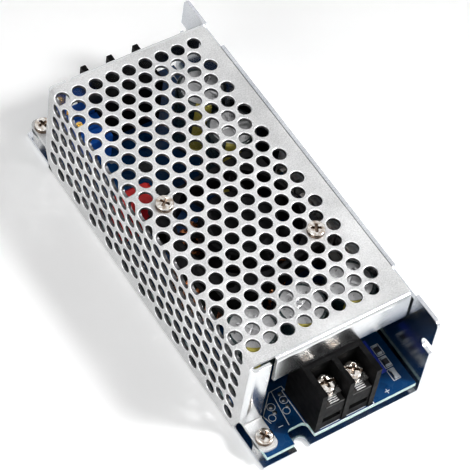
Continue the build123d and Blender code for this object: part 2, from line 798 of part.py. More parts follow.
# Fan lead: two wires from the underside of the frame down to the socket
for colour, side in (("red", -0.5), ("black", 0.5)):
    shift = Vector(socket_y - lead_y, lead_x - socket_x, 0).normalized() * side * lead_spacing
    socket_top = board_top + socket_height
    route = [
        Vector(lead_x, lead_y, fan_bottom) + shift,
        Vector(lead_x, lead_y, fan_bottom - lead_drop) + shift,
        Vector(socket_x, socket_y, socket_top + lead_drop) + shift,
        Vector(socket_x, socket_y, socket_top) + shift,
    ]
    radii = []
    for before, corner, after in zip(route, route[1:], route[2:]):
        first_run = corner - before
        second_run = after - corner
        half_turn = radians(first_run.get_angle(second_run)) / 2
        radii.append(0.45 * min(first_run.length, second_run.length) / tan(half_turn))
    print(colour, "lead radii", [round(radius, 2) for radius in radii])
    with BuildPart() as fan_lead:
        with BuildLine() as lead_path:
            FilletPolyline(*route, radius=radii)
        with BuildSketch(Plane.XY.offset(fan_bottom)):
            with Locations((lead_x + shift.X, lead_y + shift.Y)):
                RegularPolygon(lead_diameter / 2, lead_sides)
        sweep()
    section = lead_sides / 2 * sin(2 * pi / lead_sides) * (lead_diameter / 2) ** 2
    lead_volume = lead_path.wire().length * section
    print(colour, "lead volume", round(fan_lead.part.volume, 2), "of", round(lead_volume, 2))
    fan_lead.part.label = f"fan_lead_{colour}"
    export_step(fan_lead.part, f"parts/fan_lead_{colour}.step")
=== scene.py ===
import math
import bmesh
import bpy
from mathutils import Euler, Matrix, Vector


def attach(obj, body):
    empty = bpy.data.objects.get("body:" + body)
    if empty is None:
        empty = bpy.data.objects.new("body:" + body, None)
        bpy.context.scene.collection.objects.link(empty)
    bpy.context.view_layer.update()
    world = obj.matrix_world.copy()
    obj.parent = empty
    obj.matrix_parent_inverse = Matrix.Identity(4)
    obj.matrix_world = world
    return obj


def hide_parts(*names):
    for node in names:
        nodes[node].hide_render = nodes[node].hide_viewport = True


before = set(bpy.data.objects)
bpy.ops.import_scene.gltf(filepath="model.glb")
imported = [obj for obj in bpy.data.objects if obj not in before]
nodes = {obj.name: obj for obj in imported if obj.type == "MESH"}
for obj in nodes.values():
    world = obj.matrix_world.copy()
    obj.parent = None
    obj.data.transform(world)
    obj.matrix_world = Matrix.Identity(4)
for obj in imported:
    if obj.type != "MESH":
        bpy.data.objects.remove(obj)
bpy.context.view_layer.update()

# Boost converter module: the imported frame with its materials, and finer pieces in place of some nodes.
# Blender works in metres; the forms below are written in millimetres.
MM = 0.001

# Camera at the photograph's angle, solved from the lattice of holes in the cover; angles in degrees
camera_place = Vector((-0.25893, -0.30629, 0.56146))
camera_angles = (35.8034, -6.0907, -32.4289)
camera_data = bpy.data.cameras.new("camera")
camera_data.lens = 170.0
camera_data.sensor_width = 36.0
camera_data.clip_start = 0.01
camera = bpy.data.objects.new("camera", camera_data)
camera_turn = Euler([math.radians(angle) for angle in camera_angles])
camera.matrix_world = Matrix.LocRotScale(camera_place, camera_turn, None)
bpy.context.scene.collection.objects.link(camera)
bpy.context.scene.camera = camera
bpy.context.scene.view_settings.view_transform = "Standard"


# ---- Materials ----

class Paint:
    """A node material with a few helpers. Noise scales are in features per metre."""

    def __init__(self, name, colour, rough, metallic=0.0):
        self.material = bpy.data.materials.new(name)
        self.material.use_nodes = True
        self.tree = self.material.node_tree
        self.shader = self.tree.nodes["Principled BSDF"]
        self.shader.inputs["Metallic"].default_value = metallic
        self.shader.inputs["Roughness"].default_value = rough
        self.shader.inputs["Base Color"].default_value = (*colour, 1)
        self.place = self.add("ShaderNodeTexCoord").outputs["Object"]
        self.colour = None
        self.normal = None

    def add(self, kind, **inputs):
        node = self.tree.nodes.new(kind)
        for key, value in inputs.items():
            socket = node.inputs[key.replace("_", " ")]
            if isinstance(value, bpy.types.NodeSocket):
                self.tree.links.new(value, socket)
            else:
                socket.default_value = value
        return node

    def stretched(self, x=1.0, y=1.0, z=1.0):
        return self.add("ShaderNodeMapping", Vector=self.place, Scale=(x, y, z)).outputs[0]

    def noise(self, scale, detail=4.0, at=None, low=0.35, high=0.65):
        """A noise from 0 to 1, where low and high set its contrast."""
        node = self.add("ShaderNodeTexNoise", Vector=at or self.place, Scale=scale, Detail=detail)
        return self.spread(node.outputs["Fac"], low, high)

    def spread(self, value, low, high, to_low=0.0, to_high=1.0):
        """Takes the range from low to high to the one from to_low to to_high, clamped."""
        node = self.add("ShaderNodeMapRange")
        node.clamp = True
        for key, number in (("From Min", low), ("From Max", high), ("To Min", to_low), ("To Max", to_high)):
            node.inputs[key].default_value = number
        self.tree.links.new(value, node.inputs["Value"])
        return node.outputs["Result"]

    def maths(self, operation, a, b=0.0, c=0.0):
        node = self.tree.nodes.new("ShaderNodeMath")
        node.operation = operation
        for socket, value in zip(node.inputs, (a, b, c)):
            if isinstance(value, bpy.types.NodeSocket):
                self.tree.links.new(value, socket)
            else:
                socket.default_value = value
        return node.outputs[0]

    def mix(self, factor, a, b):
        """The colour a where the factor is 0, and b where it is 1."""
        node = self.tree.nodes.new("ShaderNodeMix")
        node.data_type = "RGBA"
        for socket, value in ((node.inputs[0], factor), (node.inputs[6], a), (node.inputs[7], b)):
            if isinstance(value, bpy.types.NodeSocket):
                self.tree.links.new(value, socket)
            elif isinstance(value, tuple):
                socket.default_value = (*value, 1)
            else:
                socket.default_value = value
        return node.outputs[2]

    def tint(self, factor, a, b=None):
        """The base colour goes from a, or what it was, to b by the factor."""
        if b is None:
            a, b = self.colour, a
        self.colour = self.mix(factor, a, b)
        self.tree.links.new(self.colour, self.shader.inputs["Base Color"])

    def set(self, name, value):
        """Links a varying value to one of the shader's sockets."""
        self.tree.links.new(value, self.shader.inputs[name])

    def bump(self, height, depth):
        """Adds a relief of that depth in millimetres."""
        node = self.add("ShaderNodeBump", Height=height, Distance=depth * MM, Strength=1.0)
        if self.normal:
            self.tree.links.new(self.normal, node.inputs["Normal"])
        self.normal = node.outputs[0]
        self.tree.links.new(self.normal, self.shader.inputs["Normal"])

    def axis(self, name):
        return self.add("ShaderNodeSeparateXYZ", Vector=self.place).outputs[name]

    def facing(self, name):
        """How much the surface faces along that axis of the object, from 0 to 1."""
        normal = self.add("ShaderNodeTexCoord").outputs["Normal"]
        parts = self.add("ShaderNodeSeparateXYZ", Vector=normal)
        return self.maths("ABSOLUTE", parts.outputs[name])

    def dull(self, level):
        """Less mirrored light than plain plastic has."""
        self.shader.inputs["Specular IOR Level"].default_value = level
        return self

    def gloss(self, coat, coat_rough):
        self.shader.inputs["Coat Weight"].default_value = coat
        self.shader.inputs["Coat Roughness"].default_value = coat_rough


def aluminium(name, low, high, rough, stray, grain, bare=1.0):
    """Rolled aluminium: a fine grain, faint clouds and a few scuffs.

    Its colour goes from low to high and its roughness strays that far from rough. grain is the relief in
    millimetres, and bare is how mirror-like it is.
    """
    p = Paint(name, high, rough, bare)
    clouds = p.noise(60, 5)
    specks = p.noise(2600, 3)
    p.tint(p.maths("MULTIPLY_ADD", specks, 0.5, p.maths("MULTIPLY", clouds, 0.5)), low, high)
    scuffs = p.noise(220, 8, p.stretched(1.0, 0.16, 1.0), 0.5, 0.75)
    smear = p.maths("MULTIPLY_ADD", clouds, 0.6, p.maths("MULTIPLY", scuffs, 0.4))
    p.set("Roughness", p.spread(smear, 0.0, 1.0, rough - stray, rough + stray))
    p.bump(p.noise(3200, 2), grain)
    p.bump(p.noise(90, 3), grain * 2)
    return p


def metal(name, low, high, rough, grain):
    """Bare metal with darker, rougher stains."""
    p = Paint(name, high, rough, 1.0)
    stains = p.noise(700, 6)
    p.tint(stains, high, low)
    p.set("Roughness", p.spread(stains, 0.0, 1.0, rough * 0.8, rough * 1.5))
    p.bump(p.noise(2500, 3), grain)
    return p


def plastic(name, low, high, rough, grain, scale=1500):
    """Moulded plastic, print or paint, faintly mottled, with a relief of that scale."""
    p = Paint(name, high, rough)
    p.tint(p.noise(320, 5), low, high)
    p.set("Roughness", p.spread(p.noise(500, 6), 0.0, 1.0, rough * 0.85, min(1.0, rough * 1.2)))
    p.bump(p.noise(scale, 4), grain)
    return p


satin = aluminium("satin_aluminium", (0.48, 0.482, 0.485), (0.82, 0.823, 0.826), 0.38, 0.08, 0.02, 0.32)
# painted shade: the walls and underside of the cover's holes are painted dark, for the shade inside the
# holes; the sheet there is the same aluminium
hole_wall_shade = metal("hole_wall_painted_shade", (0.10, 0.10, 0.105), (0.22, 0.22, 0.225), 0.34, 0.006)
# painted highlight: the drawn-in rims round the holes are painted lighter than the sheet, for the bright
# rings of light on them
rim_highlight = aluminium("rim_painted_highlight", (0.80, 0.80, 0.81), (0.93, 0.93, 0.94), 0.3, 0.05, 0.004, 0.6)
sheet_end = aluminium("bright_aluminium", (0.60, 0.61, 0.62), (0.76, 0.77, 0.78), 0.23, 0.05, 0.0006)
polished = aluminium("polished_aluminium", (0.46, 0.48, 0.52), (0.76, 0.78, 0.81), 0.2, 0.07, 0.003)
nickel = metal("nickel", (0.42, 0.35, 0.29), (0.82, 0.80, 0.77), 0.13, 0.002)
# painted shade: dark brown for the screws' cross recesses and the foot of their heads, where shade falls on
# the bright nickel
recess = metal("screw_recess_and_foot_shade", (0.07, 0.045, 0.03), (0.30, 0.23, 0.18), 0.22, 0.003)
# solder pads, darker than bright tin
pad_metal = metal("dark_solder", (0.10, 0.11, 0.12), (0.26, 0.27, 0.28), 0.34, 0.004)
tin = metal("tinned", (0.62, 0.61, 0.6), (0.80, 0.79, 0.77), 0.22, 0.003)
# painted shade: the terminals' plated contacts are painted near black, for the shade between the terminal's
# walls
contact_painted_shade = metal("contact_painted_shade", (0.025, 0.024, 0.024), (0.05, 0.048, 0.047), 0.4, 0.003)
turned_brass = metal("brass", (0.50, 0.32, 0.08), (0.80, 0.56, 0.18), 0.26, 0.004)
terminal_black = plastic("terminal_black", (0.0028, 0.0028, 0.003), (0.006, 0.0058, 0.006), 0.4, 0.004)
terminal_black.dull(0.03)
# the fan's blacks are darker than black plastic: partly painted shade, for the shade under the cover
fan_black = plastic("fan_black", (0.002, 0.002, 0.0022), (0.005, 0.005, 0.0055), 0.45, 0.012).dull(0.08)
rotor_black = plastic("rotor_black", (0.005, 0.005, 0.0055), (0.011, 0.011, 0.012), 0.5, 0.012).dull(0.08)
ferrite = plastic("ferrite", (0.005, 0.006, 0.005), (0.012, 0.014, 0.012), 0.6, 0.03).dull(0.08)
trimmer_blue = plastic("trimmer_blue", (0.007, 0.065, 0.34), (0.013, 0.12, 0.54), 0.4, 0.01).dull(0.15)
film_red = plastic("film_red", (0.50, 0.012, 0.014), (0.72, 0.03, 0.03), 0.22, 0.03, 500).dull(0.35)
insulator = plastic("insulator", (0.40, 0.42, 0.44), (0.55, 0.57, 0.58), 0.7, 0.02)
socket_white = plastic("socket_white", (0.68, 0.66, 0.6), (0.82, 0.8, 0.74), 0.45, 0.008)
lead_red = plastic("lead_red", (0.42, 0.01, 0.008), (0.6, 0.02, 0.015), 0.4, 0.01)
lead_black = plastic("lead_black", (0.01, 0.01, 0.01), (0.025, 0.025, 0.025), 0.4, 0.01)
print_white = plastic("print_white", (0.66, 0.70, 0.74), (0.86, 0.88, 0.90), 0.55, 0.01)
track_blue = plastic("track_blue", (0.012, 0.035, 0.36), (0.02, 0.06, 0.56), 0.3, 0.01)
component_pale = plastic("component_pale", (0.45, 0.5, 0.56), (0.7, 0.73, 0.76), 0.4, 0.01)

# Board: deep blue mask over faint copper tracks, pale glass fibre at the cut edges
board_blue = Paint("board_blue", (0.004, 0.030, 0.10), 0.3).dull(0.12)
tracks = board_blue.add("ShaderNodeTexVoronoi", Vector=board_blue.place, Scale=85.0)
tracks.distance = "MANHATTAN"
track_edges = board_blue.spread(tracks.outputs["Distance"], 0.40, 0.46)
board_blue.tint(board_blue.noise(120, 5), (0.0012, 0.018, 0.062), (0.0025, 0.036, 0.12))
board_blue.tint(board_blue.maths("MULTIPLY", track_edges, 0.45), (0.0035, 0.05, 0.16))
cut_edge = board_blue.spread(board_blue.facing("Z"), 0.35, 0.6, 1.0, 0.0)
fibres = board_blue.mix(board_blue.noise(1800, 3), (0.30, 0.46, 0.45), (0.55, 0.70, 0.68))
board_blue.colour = board_blue.mix(cut_edge, board_blue.colour, fibres)
board_blue.tree.links.new(board_blue.colour, board_blue.shader.inputs["Base Color"])
board_blue.set("Roughness", board_blue.spread(board_blue.noise(300, 4), 0.0, 1.0, 0.22, 0.36))
board_blue.bump(track_edges, 0.02)
board_blue.bump(board_blue.noise(1600, 3), 0.004)
board_blue.gloss(0.08, 0.05)

# Winding: mottled enamelled copper under a clear coat
enamel = Paint("enamelled_copper", (0.42, 0.12, 0.03), 0.25, 0.75)
enamel.tint(enamel.noise(420, 5), (0.30, 0.08, 0.02), (0.62, 0.22, 0.06))
enamel.set("Roughness", enamel.spread(enamel.noise(900, 3), 0.0, 1.0, 0.18, 0.34))
enamel.bump(enamel.noise(1400, 2), 0.008)
enamel.gloss(0.5, 0.1)

# Capacitor sleeve: near black with a pale gold band down one side; the aluminium top is bare
sleeve = Paint("capacitor_sleeve", (0.008, 0.018, 0.02), 0.3)
around = sleeve.add("ShaderNodeTexGradient", Vector=sleeve.place)
around.gradient_type = "RADIAL"
band = sleeve.spread(around.outputs["Fac"], 0.12, 0.125)
band_end = sleeve.spread(around.outputs["Fac"], 0.225, 0.23, 1.0, 0.0)
sleeve.tint(sleeve.noise(260, 4), (0.006, 0.014, 0.016), (0.012, 0.028, 0.03))
sleeve.tint(sleeve.maths("MULTIPLY", band, band_end), (0.44, 0.38, 0.07))
sleeve.set("Roughness", sleeve.spread(sleeve.noise(400, 4), 0.0, 1.0, 0.2, 0.36))
sleeve.bump(sleeve.noise(500, 3), 0.02)
can_top = metal("can_top", (0.5, 0.5, 0.51), (0.66, 0.66, 0.67), 0.34, 0.004)

# Controller chip: matt body, tinned legs either side; both chips stand at the same x
chip_x, chip_half = -4.0 * MM, 2.02 * MM
chip = Paint("controller_chip", (0.02, 0.02, 0.02), 0.55)
from_middle = chip.maths("ABSOLUTE", chip.maths("SUBTRACT", chip.axis("X"), chip_x))
legs = chip.spread(from_middle, chip_half, chip_half + 0.04 * MM)
chip.tint(chip.noise(900, 4), (0.012, 0.012, 0.013), (0.026, 0.026, 0.028))
chip.tint(legs, (0.66, 0.66, 0.65))
chip.set("Metallic", legs)
chip.set("Roughness", chip.spread(chip.noise(700, 5), 0.0, 1.0, 0.35, 0.6))
chip.bump(chip.noise(2400, 3), 0.008)

# Transistor: black body below, tinned tab above, tinned legs at the foot
tab_z, legs_z = 18.4 * MM, 9.2 * MM
transistor = Paint("transistor", (0.02, 0.02, 0.02), 0.45)
tab = transistor.spread(transistor.axis("Z"), tab_z - 0.02 * MM, tab_z + 0.02 * MM)
foot = transistor.spread(transistor.axis("Z"), legs_z - 0.02 * MM, legs_z + 0.02 * MM, 1.0, 0.0)
bare = transistor.maths("MAXIMUM", tab, foot)
transistor.tint(transistor.noise(500, 4), (0.012, 0.012, 0.013), (0.028, 0.028, 0.03))
transistor.tint(bare, (0.7, 0.69, 0.67))
transistor.set("Metallic", bare)
transistor.set("Roughness", transistor.spread(transistor.noise(500, 5), 0.0, 1.0, 0.28, 0.5))
transistor.bump(transistor.noise(1800, 3), 0.01)

# Chip resistors: black bodies; their pale ends are a piece of their own
chip_body = Paint("chip_resistor", (0.02, 0.02, 0.025), 0.4)
chip_body.tint(chip_body.noise(900, 4), (0.015, 0.015, 0.02), (0.04, 0.04, 0.05))
chip_body.bump(chip_body.noise(2000, 3), 0.01)


# ---- Mesh helpers: points in millimetres, faces, and one material number a face ----

edge_angle = math.radians(40)


class Form:
    """Points and faces on their way to a piece. A face's mark is the number of its material."""

    def __init__(self):
        self.points = []
        self.faces = []
        self.marks = []

    def add(self, points, faces, mark=0):
        start = len(self.points)
        self.points += points
        self.faces += [tuple(start + i for i in face) for face in faces]
        self.marks += [mark] * len(faces)

    def layers(self, rings, mark=0):
        """Skins a list of closed rings of equal length."""
        count = len(rings[0])
        points = [p for ring in rings for p in ring]
        faces = []
        for level in range(len(rings) - 1):
            for i in range(count):
                a = level * count + i
                b = level * count + (i + 1) % count
                faces.append((a, b, b + count, a + count))
        self.add(points, faces, mark)

    def prism(self, outline, low, high):
        """An upright prism over a plan outline."""
        count = len(outline)
        points = [(x, y, low) for x, y in outline] + [(x, y, high) for x, y in outline]
        faces = [tuple(range(count - 1, -1, -1)), tuple(range(count, 2 * count))]
        faces += [(i, (i + 1) % count, count + (i + 1) % count, count + i) for i in range(count)]
        self.add(points, faces)

    def turned(self, profile, count):
        """A turned form about Z from (radius, height) points."""
        self.layers([ring_points(max(r, 0.001), z, count) for r, z in profile])


def piece(name, form, paints, body="case", stands_for=(), smooth=35, bevel=0.0, at=(0, 0, 0),
          turn_out=True):
    """Makes a piece that rides on its body, in place of the nodes that it stands for.

    Without turn_out the faces keep the side to which they were wound.
    """
    mesh = bpy.data.meshes.new(name)
    mesh.from_pydata([tuple(c * MM for c in p) for p in form.points], [], form.faces)
    mesh.polygons.foreach_set("material_index", form.marks)
    work = bmesh.new()
    work.from_mesh(mesh)
    bmesh.ops.remove_doubles(work, verts=work.verts, dist=2e-6)
    if turn_out:
        bmesh.ops.recalc_face_normals(work, faces=work.faces)
    work.to_mesh(mesh)
    work.free()
    mesh.polygons.foreach_set("use_smooth", [True] * len(mesh.polygons))
    mesh.set_sharp_from_angle(angle=math.radians(smooth))
    for paint in paints:
        mesh.materials.append(paint.material)
    made = bpy.data.objects.new(name, mesh)
    made.location = tuple(c * MM for c in at)
    bpy.context.scene.collection.objects.link(made)
    if bevel:
        soften(made, bevel)
    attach(made, body)
    if stands_for:
        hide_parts(*stands_for)
    return made


def soften(thing, width, joints=()):
    """Rounds the sharp edges a little, so that they catch the light.

    joints are the Y of planes where the piece meets another; the edges there stay sharp.
    """
    modifier = thing.modifiers.new("edges", "BEVEL")
    modifier.width = width * MM
    modifier.segments = 2
    modifier.limit_method = "WEIGHT" if joints else "ANGLE"
    modifier.angle_limit = edge_angle
    modifier.harden_normals = False
    if joints:
        work = bmesh.new()
        work.from_mesh(thing.data)
        weight = work.edges.layers.float.new("bevel_weight_edge")
        for edge in work.edges:
            joined = any(all(abs(v.co.y - y * MM) < 1e-5 for v in edge.verts) for y in joints)
            if edge.is_manifold and edge.calc_face_angle() > edge_angle and not joined:
                edge[weight] = 1.0
        work.to_mesh(thing.data)
        work.free()


def dress(name, paint, bevel=0.0):
    """Gives a carried-over node its material, and softer edges."""
    thing = nodes[name]
    if not thing.material_slots:
        thing.data.materials.append(paint.material)
    for place in thing.material_slots:
        place.material = paint.material
    if bevel:
        soften(thing, bevel)


def arc(cx, cy, radius, start, end, steps):
    """Points on an arc in a plane; the angles are in degrees."""
    turns = [math.radians(start + (end - start) * i / steps) for i in range(steps + 1)]
    return [(cx + radius * math.cos(a), cy + radius * math.sin(a)) for a in turns]


def ring_points(radius, z, count, cx=0.0, cy=0.0):
    """A level ring of points."""
    turns = [2 * math.pi * i / count for i in range(count)]
    return [(cx + radius * math.cos(a), cy + radius * math.sin(a), z) for a in turns]


def turn_plan(x, y, angle):
    """x, y turned about the origin by an angle in radians."""
    return x * math.cos(angle) - y * math.sin(angle), x * math.sin(angle) + y * math.cos(angle)


# ---- Perforated cover ----

case_top = 37.0
thickness = 1.2

# Flat pattern: u runs from the right edge over the top, round the bend and down the left wall
bend_start = -26.7
bend_radius = 1.8
neutral = 1.2  # radius of the line that keeps its length in the bend
bend_run = math.pi / 2 * neutral
wall_face = -28.5
right_edge = 27.05
strip_top = -56.785
bottom_edge = -63.485
front_edge_y = -55.95
rear_edge_y = 57.75
strip_slant = 2.75

# Lattice of holes: rows run from last_y forwards, and each has its first and last hole so many pitches
# from first_u
pitch = 5.9
row_step = pitch * 5 / 6
row_count = 22
even_row = (-5.0, 8)
odd_row = (-5.5, 7.5)
first_u = -26.73
last_y = 53.12
hole_radius = 2.2
drawn_rim = ((0.24, 0.0), (0.07, 0.08), (0.0, 0.2))  # beyond the hole's radius, and below the face
# material numbers: the hole walls and underside take the painted shade, the rims the painted highlight
wall_mark, rim_mark = 1, 2

# Points along a long and a short side of each hole's square of sheet
long_points, short_points = 10, 6
cell = pitch / long_points


def fold(u, y, depth):
    """Where the flat pattern's point (u, y) lies, that deep in the folded sheet."""
    past = bend_start - u
    if past <= 0:
        return (u, y, case_top - depth)
    if past <= bend_run:
        a = past / neutral
        r = bend_radius - depth
        return (bend_start - r * math.sin(a), y, case_top - bend_radius + r * math.cos(a))
    return (wall_face + depth, y, case_top - bend_radius - (past - bend_run))


def punched_tile(form, u0, y0):
    """One hole with its square of sheet: a drawn-in rim above in a painted highlight, a plain wall and the
    underside in painted shade.
    """
    half_u, half_y = pitch / 2, row_step / 2
    square = [(-half_u + cell * i, -half_y) for i in range(long_points)]
    square += [(half_u, -half_y + row_step * i / short_points) for i in range(short_points)]
    square += [(half_u - cell * i, half_y) for i in range(long_points)]
    square += [(-half_u, half_y - row_step * i / short_points) for i in range(short_points)]
    angles = [math.atan2(dy, dx) for dx, dy in square]

    def circle(beyond, depth):
        radius = hole_radius + beyond
        return [fold(u0 + radius * math.cos(a), y0 + radius * math.sin(a), depth) for a in angles]

    outside = [fold(u0 + dx, y0 + dy, 0.0) for dx, dy in square]
    underside = [fold(u0 + dx, y0 + dy, thickness) for dx, dy in square]
    form.layers([outside, circle(*drawn_rim[0])])
    form.layers([circle(*step) for step in drawn_rim], rim_mark)
    form.layers([circle(*drawn_rim[-1]), circle(0.0, thickness), underside], wall_mark)


def end_line(u, front):
    """The y of the sheet's front or rear edge at u; the lower strip is cut at a slant."""
    drop = max(0.0, (strip_top - u) / (strip_top - bottom_edge)) * strip_slant
    return front_edge_y + drop if front else rear_edge_y - drop


def both_sides(form, corners):
    """A patch of the sheet, outside and inside, from its (u, y) corners."""
    form.add([fold(u, y, 0.0) for u, y in corners], [(0, 1, 2, 3)])
    form.add([fold(u, y, thickness) for u, y in corners], [(3, 2, 1, 0)])


punched_sheet = Form()
for row in range(row_count):
    y = last_y - row * row_step
    front, rear = y - row_step / 2, y + row_step / 2
    low, high = even_row if row % 2 == 0 else odd_row
    for column in range(int(high - low) + 1):
        punched_tile(punched_sheet, first_u + (low + column) * pitch, y)
    for a, b in (
        (first_u + (high + 0.5) * pitch, right_edge),
        (bottom_edge, first_u + (low - 0.5) * pitch),
    ):
        both_sides(punched_sheet, [(a, front), (b, front), (b, rear), (a, rear)])

# the margins before and behind the rows, cut where the tiles' points are
steps_u = [first_u - pitch / 2 + cell * i for i in range(-58, 92)]
steps_u = [u for u in steps_u if bottom_edge < u < right_edge] + [bottom_edge, strip_top, right_edge]
steps_u = sorted(set(round(u, 4) for u in steps_u))
rows_front = last_y - (row_count - 0.5) * row_step
rows_rear = last_y + 0.5 * row_step
for a, b in zip(steps_u, steps_u[1:]):
    front_a, front_b = end_line(a, True), end_line(b, True)
    rear_a, rear_b = end_line(a, False), end_line(b, False)
    both_sides(punched_sheet, [(a, front_a), (b, front_b), (b, rows_front), (a, rows_front)])
    both_sides(punched_sheet, [(a, rows_rear), (b, rows_rear), (b, rear_b), (a, rear_a)])
border = [(u, end_line(u, True)) for u in steps_u] + [(u, end_line(u, False)) for u in reversed(steps_u)]
punched_sheet.layers([[fold(u, y, depth) for u, y in border] for depth in (thickness, 0.0)])
piece("cover_sheet", punched_sheet, [satin, hole_wall_shade, rim_highlight], stands_for=("cover",),
      smooth=38, turn_out=False)


def folded(form, outer, inner, low, high, to_point):
    """A folded strip: outer and inner lines of its section, run between low and high."""
    count = len(outer)
    rings = [[to_point(p, at) for p in outer + inner[::-1]] for at in (low, high)]
    form.layers(rings)
    ladder = [(i, i + 1, 2 * count - 2 - i, 2 * count - 1 - i) for i in range(count - 1)]
    for ring in rings:
        form.add(ring, ladder)


# Outer faces of the end flanges, each with the way inward; the bend leaves the sheet at the joint
end_faces = ((-57.7, 1), (59.5, -1))
joint = 1.75
outer_bend, inner_bend = 1.7, 0.5
flange_foot, flange_left, flange_right = 25.7, -20.2, 26.7
ear_low, ear_high, ear_edge = 7.0, 35.8, -22.0
foot_left, foot_right, foot_under, foot_top = -27.8, -21.7, 5.8, 7.0
foot_reach, foot_round = 10.4, 2.2
heel_z, heel_outer, heel_inner = 7.6, 1.8, 0.6
cut_edges = 0.14

ends = Form()
feet = Form()
for face, inward in end_faces:
    start = face + inward * joint
    centre = face + inward * outer_bend
    inner_face = face + inward * thickness
    # end flange, bent down from the top
    down = 180 if inward > 0 else 0
    outer = [(start, case_top)] + arc(centre, case_top - outer_bend, outer_bend, 90, down, 8)
    inner = [(start, case_top - thickness)] + arc(centre, case_top - outer_bend, inner_bend, 90, down, 8)
    outer += [(face, flange_foot)]
    inner += [(inner_face, flange_foot)]
    folded(ends, outer, inner, flange_left, flange_right, lambda p, x: (x, p[0], p[1]))
    # ear, bent round from the left wall
    round_to = 270 if inward > 0 else 90
    outer = [(wall_face, start)] + arc(wall_face + outer_bend, centre, outer_bend, 180, round_to, 8)
    inner = [(wall_face + thickness, start)]
    inner += arc(wall_face + outer_bend, centre, inner_bend, 180, round_to, 8)
    outer += [(ear_edge, face)]
    inner += [(ear_edge, inner_face)]
    folded(ends, outer, inner, ear_low, ear_high, lambda p, z: (p[0], p[1], z))
    # foot, bent out from the ear, with two rounded corners
    heel = face - inward * heel_inner
    upright, flat = (0, -90) if inward > 0 else (180, 270)
    outer = arc(heel, heel_z, heel_outer, upright, flat, 10)
    inner = arc(heel, heel_z, heel_inner, upright, flat, 10)
    folded(feet, outer, inner, foot_left, foot_right, lambda p, x: (x, p[0], p[1]))
    corner_y = face - inward * foot_reach + inward * foot_round
    plan = [(foot_left, heel)]
    plan += arc(foot_left + foot_round, corner_y, foot_round, 180, 180 + 90 * inward, 8)
    plan += arc(foot_right - foot_round, corner_y, foot_round, -90 * inward, 0, 8) + [(foot_right, heel)]
    feet.prism(plan, foot_under, foot_top)
cover_ends = piece("cover_ends", ends, [sheet_end], stands_for=("cover",))
soften(cover_ends, cut_edges, joints=(front_edge_y, rear_edge_y))
piece("cover_feet", feet, [satin], stands_for=("cover",), bevel=cut_edges)


# ---- Screws ----

head_points, shank_points = 88, 28
crown_steps, edge_steps = 33, 8
thread_step, thread_root = 0.25, 0.86
tiny = 0.002


def cross_depth(x, y, arm, half, deep, slot):
    """Depth of a cross recess at x, y, shallower towards its ends and sides; slot adds a straight cut."""
    best = 0.0
    for a, b in ((x, y), (y, x)):
        if abs(a) < arm and abs(b) < half:
            along, across = 2.2 * (1 - abs(a) / arm), 3.5 * (1 - abs(b) / half)
            best = max(best, deep * min(1.0, along) * min(1.0, across))
    if slot and abs(y) < slot:
        best = max(best, deep * 0.5 * min(1.0, 4 * (1 - abs(y) / slot)))
    return best


def head_profile(radius, height):
    """Radii and heights of a pan head from its middle out and down to its seat."""
    crown = 0.1 * height
    out = []
    for i in range(crown_steps + 1):
        r = radius * 0.84 * i / crown_steps
        out.append((r, height - crown * (r / radius) ** 2))
    low_r, top = out[-1]
    bend = radius - low_r
    for i in range(1, edge_steps + 1):
        a = math.pi / 2 * i / edge_steps
        out.append((low_r + bend * math.sin(a), top - bend * 1.1 * (1 - math.cos(a))))
    out.append((radius, 0.0))
    return out


def add_screw(form, x, y, seat, radius, height, turn, shank, reach, arm=0.62, slot=0.0):
    """A pan head with a cross recess, turned by that many degrees, and a shank with a thread.

    Recess and foot of the head get mark 1, the second paint, a painted shade. arm is the recess's length as a
    share of the head's radius.
    """
    turn = math.radians(turn)

    def cut_at(px, py):
        return cross_depth(px, py, arm * radius, 0.17 * radius, 0.52 * height, slot)

    rings = []
    for r, z in head_profile(radius, height):
        ring = []
        for px, py, _ in ring_points(max(r, tiny), 0, head_points):
            cut = cut_at(px, py) if r < 0.9 * radius else 0.0
            dx, dy = turn_plan(px, py, turn)
            ring.append((x + dx, y + dy, seat + z - cut))
        rings.append(ring)
    first = len(form.faces)
    form.layers(rings)
    for i in range(first, len(form.faces)):
        corners = [form.points[k] for k in form.faces[i]]
        middle = [sum(p[axis] for p in corners) / 4 for axis in range(3)]
        cut = cut_at(*turn_plan(middle[0] - x, middle[1] - y, -turn))
        # the recess and the foot of the head take the painted shade
        if cut > 0.06 * height or middle[2] - seat < 0.35 * height:
            form.marks[i] = 1
    spiral = []
    for i in range(int(reach / thread_step)):
        wide = shank if i % 2 == 0 else shank * thread_root
        spiral.append(ring_points(wide, seat - thread_step * i, shank_points, x, y))
    spiral.append(ring_points(tiny, seat - reach, shank_points, x, y))
    form.layers(spiral)


# Two of the board's screws hold the cover's feet down with it
board_z = 5.8
board_screw_places = (
    (-24.9, -64.2, foot_top, 30), (-24.9, 66.0, foot_top, 12),
    (17.7, -28.0, board_z, 50), (24.2, 50.2, board_z, 75),
)
board_screws = Form()
for x, y, seat, turn in board_screw_places:
    add_screw(board_screws, x, y, seat, 2.75, 2.0, turn, 1.2, seat - 1.2)
piece("board_screw_set", board_screws, [nickel, recess], stands_for=("board_screws",),
      smooth=40)

fan_turn = math.radians(5.2)
fan_x, fan_y = -3.13, -10.8
fan_hole = 16.0
fan_screws = Form()
for side, turn in ((-1, 35), (1, 62)):
    dx, dy = turn_plan(side * fan_hole, -side * fan_hole, fan_turn)
    add_screw(fan_screws, fan_x + dx, fan_y + dy, case_top, 2.8, 1.9, turn, 1.45, 11.2)
piece("fan_screw_set", fan_screws, [nickel, recess], stands_for=("fan_screws",), smooth=40)

